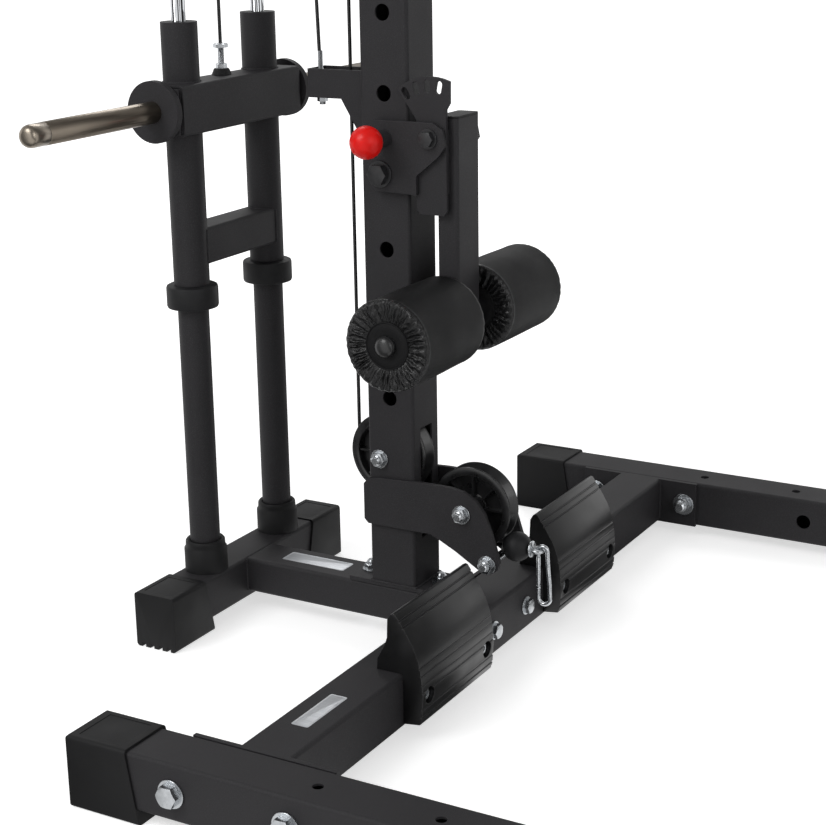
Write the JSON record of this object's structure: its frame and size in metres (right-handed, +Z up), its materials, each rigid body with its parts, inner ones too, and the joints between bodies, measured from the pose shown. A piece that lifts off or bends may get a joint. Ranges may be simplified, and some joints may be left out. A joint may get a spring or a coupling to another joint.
{
  "type": "half rack",
  "caption": "Half rack on a low steel base with front uprights, a plate-loaded cable carriage on guide rods, low and high pulleys, footrests and a padded leg holder",
  "frame": {"origin": "middle of the footprint on the floor", "axes": "+Z up, -Y front where the lifter stands, +X the rack's right side seen from behind"},
  "size_m": [1.2352, 1.563, 2.239],
  "materials": {
    "coated_steel": "fine-textured charcoal black powder coat",
    "cap_plastic": "moulded black plastic with a soft sheen",
    "bumper_rubber": "black rubber",
    "pulley_nylon": "black glass-filled nylon",
    "cable_jacket": "black nylon jacket over steel cable",
    "chrome_rod": "hard chrome",
    "zinc_hardware": "bright zinc plate",
    "bare_steel": "satin bare steel with polished tips",
    "galvanised_wire": "galvanised steel",
    "knob_red": "glossy red phenolic",
    "roller_cover": "black leatherette over foam",
    "hub_plastic": "glossy black plastic"
  },
  "bodies": {
    "frame": {"side_beam_left": "coated_steel", "side_beam_right": "coated_steel", "foot_caps": "cap_plastic", "cross_beam": "coated_steel", "frame_bolts": "zinc_hardware", "rear_base": "coated_steel", "plate_bolts": "zinc_hardware", "centre_post": "coated_steel", "end_plates": "coated_steel", "rod_cups": "cap_plastic", "stop_tubes": "coated_steel", "bumper_collars": "bumper_rubber", "guide_rods": "chrome_rod", "rod_head": "coated_steel", "footrests": "cap_plastic", "footrest_bolts": "zinc_hardware", "anchor_bracket": "coated_steel", "anchor_ferrule": "zinc_hardware", "low_pulley_bracket": "coated_steel", "bracket_bolts": "zinc_hardware", "pulley_axles": "zinc_hardware", "leg_bracket": "coated_steel", "pull_pin_barrel": "coated_steel", "pull_pin_spring": "zinc_hardware", "uprights": "coated_steel", "top_cross_beam": "coated_steel", "top_boom": "coated_steel", "pull_up_bar": "coated_steel", "top_cable": "cable_jacket", "low_cable": "cable_jacket", "carriage_cable": "cable_jacket", "block_upper_cable": "cable_jacket", "block_lower_cable": "cable_jacket", "lat_ball_stop": "bumper_rubber", "j_cups": "coated_steel", "spotter_arms": "coated_steel"},
    "carriage": {"carriage_frame": "coated_steel", "carriage_bushes": "cap_plastic", "weight_horns": "bare_steel", "cable_adjuster": "zinc_hardware"},
    "block": {"block_plates": "coated_steel", "block_axles": "zinc_hardware"},
    "post_pulley": {"post_pulley": "pulley_nylon"},
    "low_pulley": {"low_pulley": "pulley_nylon"},
    "rear_top_pulley": {"rear_top_pulley": "pulley_nylon"},
    "mid_top_pulley": {"mid_top_pulley": "pulley_nylon"},
    "lat_pulley": {"lat_pulley": "pulley_nylon"},
    "block_upper_pulley": {"block_upper_pulley": "pulley_nylon"},
    "block_lower_pulley": {"block_lower_pulley": "pulley_nylon"},
    "low_end": {"low_ball_stop": "bumper_rubber"},
    "carabiner": {"low_carabiner": "galvanised_wire"},
    "gate": {"carabiner_gate": "galvanised_wire"},
    "leg_holder": {"leg_arm": "coated_steel", "leg_arm_caps": "cap_plastic", "roller_axle": "zinc_hardware", "foam_roller_left": "roller_cover", "foam_roller_right": "roller_cover", "roller_hubs": "hub_plastic"},
    "pull_pin": {"pull_pin": "zinc_hardware", "pull_pin_knob": "knob_red"}
  },
  "joints": [
    {"name": "carriage_slide", "type": "slide", "parent": "frame", "child": "carriage", "axis": [0, 0, 1], "range_m": [0, 0.9], "deforming": ["carriage_cable"]},
    {"name": "block_slide", "type": "slide", "parent": "frame", "child": "block", "axis": [0, 0, 1], "range_m": [-0.45, 0], "deforming": ["block_upper_cable", "block_lower_cable"]},
    {"name": "low_pull", "type": "slide", "parent": "frame", "child": "low_end", "axis": [0, -0.9966, 0.083], "range_m": [0, 0.9], "deforming": ["low_cable"]},
    {"name": "post_pulley_spin", "type": "hinge", "parent": "frame", "child": "post_pulley", "pos_m": [0, 0.489, 0.2605], "axis": [1, 0, 0], "continuous": true},
    {"name": "low_pulley_spin", "type": "hinge", "parent": "frame", "child": "low_pulley", "pos_m": [0, 0.3625, 0.2035], "axis": [1, 0, 0], "continuous": true},
    {"name": "rear_top_pulley_spin", "type": "hinge", "parent": "frame", "child": "rear_top_pulley", "pos_m": [0, 0.6925, 2.182], "axis": [1, 0, 0], "continuous": true},
    {"name": "mid_top_pulley_spin", "type": "hinge", "parent": "frame", "child": "mid_top_pulley", "pos_m": [0, 0.4915, 2.182], "axis": [1, 0, 0], "continuous": true},
    {"name": "lat_pulley_spin", "type": "hinge", "parent": "frame", "child": "lat_pulley", "pos_m": [0, 0.042, 2.182], "axis": [1, 0, 0], "continuous": true},
    {"name": "block_upper_spin", "type": "hinge", "parent": "block", "child": "block_upper_pulley", "pos_m": [0, 0.592, 1.806], "axis": [1, 0, 0], "continuous": true},
    {"name": "block_lower_spin", "type": "hinge", "parent": "block", "child": "block_lower_pulley", "pos_m": [0, 0.5795, 1.7], "axis": [1, 0, 0], "continuous": true},
    {"name": "carabiner_swing", "type": "hinge", "parent": "low_end", "child": "carabiner", "pos_m": [0, 0.2635, 0.15585], "axis": [-1, 0, 0], "range_deg": [-20, 80]},
    {"name": "gate_swing", "type": "hinge", "parent": "carabiner", "child": "gate", "pos_m": [0, 0.2699, 0.10185], "axis": [1, 0, 0], "range_deg": [0, 7], "stiffness_Nm_per_rad": 0.05, "springref_deg": -11.46},
    {"name": "leg_holder_swing", "type": "hinge", "parent": "frame", "child": "leg_holder", "pos_m": [0, 0.402, 0.695], "axis": [-1, 0, 0], "range_deg": [0, 103.3]},
    {"name": "pull_pin_slide", "type": "slide", "parent": "frame", "child": "pull_pin", "axis": [-1, 0, 0], "range_m": [0, 0.008], "stiffness_N_per_m": 1500, "springref_m": -0.004, "deforming": ["pull_pin_spring"]}
  ],
  "couplings": [
    {"joint": "block_slide", "follows": "carriage_slide", "ratio": -0.5},
    {"joint": "low_pull", "follows": "carriage_slide", "ratio": 1},
    {"joint": "post_pulley_spin", "follows": "carriage_slide", "rad_per_m": -19.048},
    {"joint": "low_pulley_spin", "follows": "carriage_slide", "rad_per_m": -19.048},
    {"joint": "rear_top_pulley_spin", "follows": "carriage_slide", "rad_per_m": 19.048},
    {"joint": "block_upper_spin", "follows": "carriage_slide", "rad_per_m": -10.417},
    {"joint": "block_lower_spin", "follows": "carriage_slide", "rad_per_m": 13.158}
  ]
}
